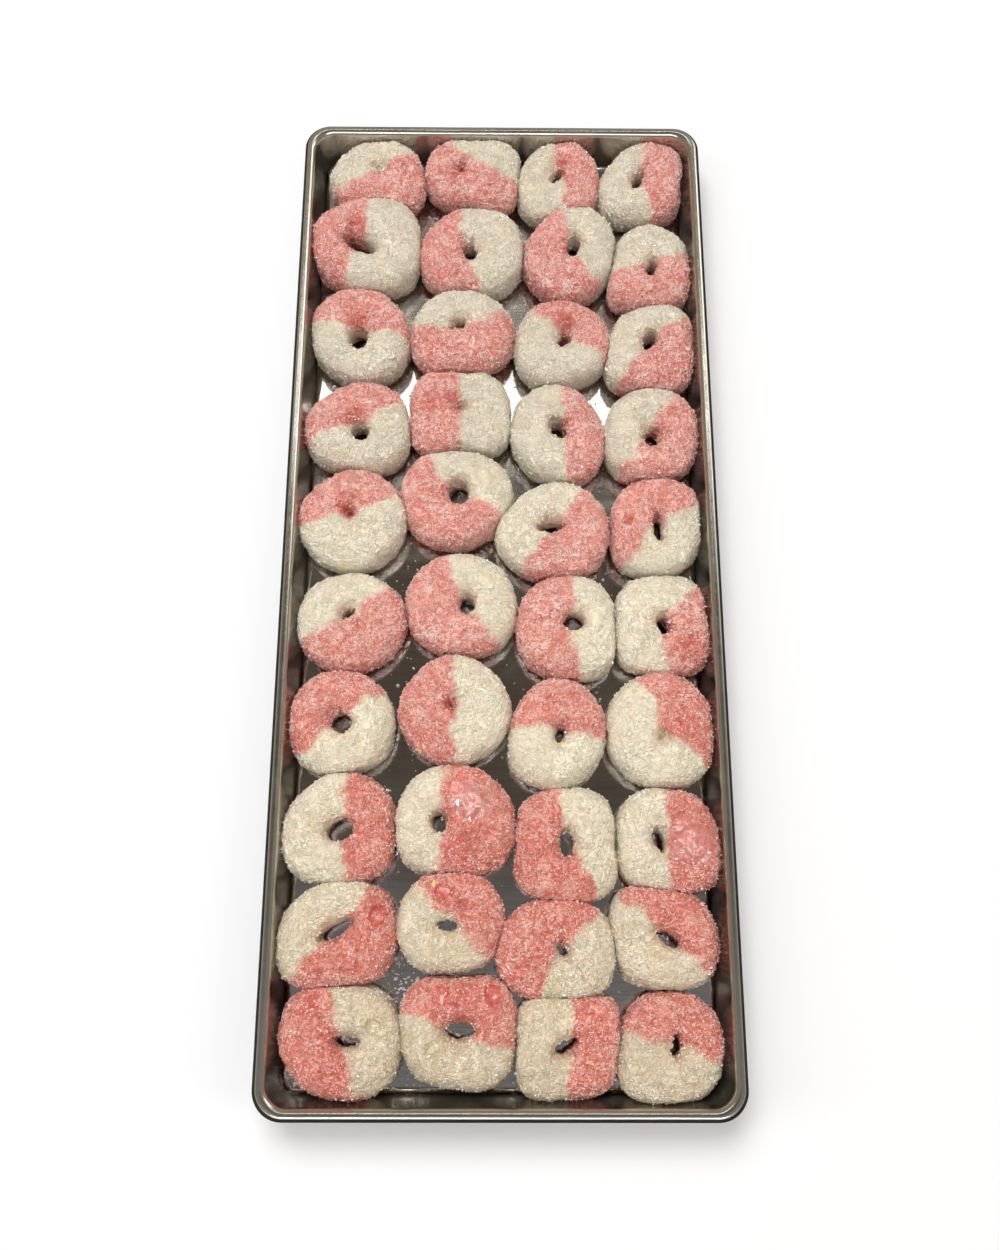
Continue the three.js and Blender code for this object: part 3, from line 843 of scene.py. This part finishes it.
def grains_on_rings():
    """Places for the grains that stick to the crust, apart on pink and on cream."""
    pinks, creams = [], []
    for piece in sweets:
        mesh = piece.data
        points, normals = points_of(mesh), normals_of(mesh)
        pink, deep = painted(mesh, "tint")[:2]
        wet, hollow = painted(mesh, "skin")[0], painted(mesh, "relief")[0]
        dry = np.clip(1 - 1.3 * wet, 0, 1) * (1 - 0.8 * deep)
        weight = np.clip(normals[:, 2] + 0.75, 0, 1) * dry * (points[:, 2] > 4 * MM) * (0.45 + 0.55 * pink)
        weight *= (0.3 + 0.7 * step(perlin(points, 7 * MM, 11.0), -0.3, 0.4)) * (1.1 - hollow)
        chosen = rng.choice(len(points), GRAINS_PER_RING, replace=False, p=weight / weight.sum())
        for index in chosen:
            place = points[index] + normals[index] * rng.uniform(-0.05, 0.15) * MM
            (pinks if pink[index] > 0.5 else creams).append(place)
    return pinks, creams


def scatter_sugar():
    pinks, creams = grains_on_rings()
    pink_grains = sprinkle("sugar_on_pink", pinks, rng.uniform(0.4, 1.15, len(pinks)) * MM,
                           sugar_material("pink_sugar", (0.86, 0.44, 0.385), (0.93, 0.62, 0.56)))
    cream_grains = sprinkle("sugar_on_cream", creams, rng.uniform(0.4, 1.1, len(creams)) * MM,
                            sugar_material("cream_sugar", (0.84, 0.78, 0.63), (0.94, 0.90, 0.80)))
    return [pink_grains, cream_grains]


# Where loose crumbs lie on the tray's floor: place, spread and how many. Millimetres.
CRUMBS = [
    ((-41, -174), 8, 170), ((0, -216), 30, 150), ((-46, -214), 10, 110), ((-86, -176), 5, 60),
    ((-86, -212), 4, 90), ((5, -178), 8, 50), ((50, -214), 14, 50),
    ((45, -147), 10, 30), ((-43, -128), 9, 25), ((-86, -138), 6, 20), ((46, -182), 10, 25),
    ((-43, -88), 12, 45), ((-41, -42), 12, 30), ((4, -40), 10, 20), ((-42, 4), 10, 20),
    ((44, -50), 10, 25), ((46, -2), 8, 15), ((-85, -2), 6, 20), ((85, -95), 6, 15),
    ((-44, 46), 10, 15), ((8, 138), 10, 30), ((8, 92), 9, 20), ((46, 90), 8, 15),
    ((-43, 92), 9, 12), ((46, 40), 9, 15),
    ((0, 0), None, 160),  # strays, anywhere on the floor
]
STRAY_REACH = np.array((86, 215))  # half of the area where the strays lie
FLOOR_LIMIT = np.array((85.5, 215.5))  # half of the tray's flat floor
LARGEST_CRUMB = 3.0
YELLOW_SPECK = ("ring_9_2", (-27.2, -137.0, 40), 2.6)  # a yellow crumb: ring, a point above it, size


def scatter_crumbs():
    trees = [BVHTree.FromObject(piece, bpy.context.evaluated_depsgraph_get()) for piece in sweets]
    ring, above, size = YELLOW_SPECK
    place = trees[list(RINGS).index(ring)].ray_cast(Vector(above) * MM, Vector((0, 0, -1)))[0]
    sprinkle("yellow_speck", [np.array(place)], [size * MM],
             sugar_material("yellow_speck", (0.90, 0.64, 0.17), (0.93, 0.72, 0.27)))
    places, sizes = [], []
    for middle, spread, count in CRUMBS:
        for _ in range(count):
            if spread is None:
                spot = rng.uniform(-STRAY_REACH, STRAY_REACH)
            else:
                spot = rng.normal(middle, spread)
            if np.any(np.abs(spot) > FLOOR_LIMIT):
                continue
            start = Vector((spot[0], spot[1], 0)) * MM
            if any(tree.ray_cast(start, Vector((0, 0, 1)))[0] is not None for tree in trees):
                continue
            size = min(rng.lognormal(-0.25, 0.55), LARGEST_CRUMB)
            places.append(np.array((spot[0], spot[1], SHEET + 0.3 * size)) * MM)
            sizes.append(size * MM)
    sprinkle("loose_sugar", places, sizes,
             sugar_material("loose_sugar", (0.90, 0.88, 0.84), (0.97, 0.96, 0.94)))


grains = scatter_sugar()
scatter_crumbs()


# ------------------------------------------------------------------ floor and light

FLOOR_COLOUR = (0.825, 0.84, 0.88, 1)
ROOM_NEAR, ROOM_FAR = (0.30, 0.285, 0.25), (0.34, 0.30, 0.24)
OVERHEAD_NEAR, OVERHEAD_FAR = (0.235, 0.23, 0.235), (0.11, 0.09, 0.07)


def make_floor():
    reach, drop = 4, -0.2 * MM
    mesh = bpy.data.meshes.new("floor")
    mesh.from_pydata([(-reach, -reach, 0), (reach, -reach, 0), (reach, reach, 0), (-reach, reach, 0)], [],
                     [(0, 1, 2, 3)])
    floor = add_object("floor", mesh)
    floor.location.z = drop
    n = Nodes("pale_floor")
    n.shade(Base_Color=FLOOR_COLOUR, Roughness=0.9, Specular_IOR_Level=0.0)
    mesh.materials.append(n.material)


def add_panel(name, place, size, power, colour=(1, 1, 1), mirrored=False):
    """A softbox that faces the tray."""
    data = bpy.data.lights.new(name, "AREA")
    data.shape = "RECTANGLE"
    data.size, data.size_y = size
    data.energy = power
    data.color = colour
    lamp = bpy.data.objects.new(name, data)
    lamp.location = place
    lamp.rotation_euler = (-Vector(place)).to_track_quat("-Z", "Y").to_euler()
    lamp.visible_glossy = mirrored
    scene.collection.objects.link(lamp)
    return lamp


def make_room():
    """Soft light from all round: dimmer overhead, and browner from there towards the tray's far end."""
    world = bpy.data.worlds.new("room")
    world.use_nodes = True
    tree = world.node_tree
    place = tree.nodes.new("ShaderNodeTexCoord")
    split = tree.nodes.new("ShaderNodeSeparateXYZ")
    tree.links.new(place.outputs["Generated"], split.inputs[0])

    def blend(axis, low, high, first, second):
        """Goes from the first colour to the second as a direction's part along an axis grows."""
        ramp = tree.nodes.new("ShaderNodeMapRange")
        ramp.interpolation_type = "SMOOTHSTEP"
        ramp.inputs[1].default_value = low
        ramp.inputs[2].default_value = high
        mix = tree.nodes.new("ShaderNodeMix")
        mix.data_type = "RGBA"
        tree.links.new(split.outputs[axis], ramp.inputs[0])
        tree.links.new(ramp.outputs[0], mix.inputs[0])
        for socket, colour in ((mix.inputs[6], first), (mix.inputs[7], second)):
            if isinstance(colour, tuple):
                socket.default_value = (*colour, 1)
            else:
                tree.links.new(colour, socket)
        return mix.outputs[2]

    sideways = blend(1, 0.1, 0.5, ROOM_NEAR, ROOM_FAR)
    above = blend(1, -0.06, 0.14, OVERHEAD_NEAR, OVERHEAD_FAR)
    tree.links.new(blend(2, 0.80, 0.95, sideways, above), tree.nodes["Background"].inputs[0])
    scene.world = world


# Softboxes that light everything and that nothing mirrors: name, place, size, power and colour.
SOFTBOXES = [
    ("key", (-0.4, 1.05, 2.0), (1.5, 1.2), 42, (1.0, 0.985, 0.96)),
    ("left", (-1.8, -0.2, 1.2), (0.8, 1.8), 14, (1, 1, 1)),
    ("right", (1.8, -0.4, 1.2), (0.8, 1.8), 13, (1.0, 0.96, 0.87)),
    ("front", (0.0, -1.7, 1.5), (1.4, 0.8), 9, (1, 1, 1)),
]
# Lamps that only show as reflections: name, place, size and radiance.
STRIPS = [
    ("back_strip", (0.0, 1.16, 2.1), (2.2, 0.14), 4.5),
    ("front_strip", (0.0, -1.72, 2.1), (2.0, 0.38), 8.0),
    ("side_window", (1.75, 1.60, 1.8), (1.5, 1.0), 2.6),
]
# The same, but only the sweets and their sugar mirror these.
GLINTS = [
    ("glint_above", (0.25, 0.10, 2.0), (0.30, 0.30), 70.0),
    ("glint_front", (-0.30, -1.05, 1.9), (0.80, 0.20), 90.0),
    ("glint_back", (-0.35, 1.30, 1.9), (0.45, 0.35), 70.0),
    ("glint_left", (-1.20, 0.10, 1.8), (0.45, 0.35), 70.0),
    ("glint_right", (1.20, -0.30, 1.8), (0.45, 0.35), 70.0),
]


def light_scene():
    for softbox in SOFTBOXES:
        add_panel(*softbox)
    only_sweets = bpy.data.collections.new("mirrors_glints")
    for piece in sweets + grains:
        only_sweets.objects.link(piece)
    for lamps, receivers in ((STRIPS, None), (GLINTS, only_sweets)):
        for name, place, size, radiance in lamps:
            lamp = add_panel(name, place, size, radiance * math.pi * size[0] * size[1], mirrored=True)
            lamp.visible_diffuse = False
            lamp.light_linking.receiver_collection = receivers
    make_room()
    scene.view_settings.view_transform = "Standard"


make_floor()
light_scene()
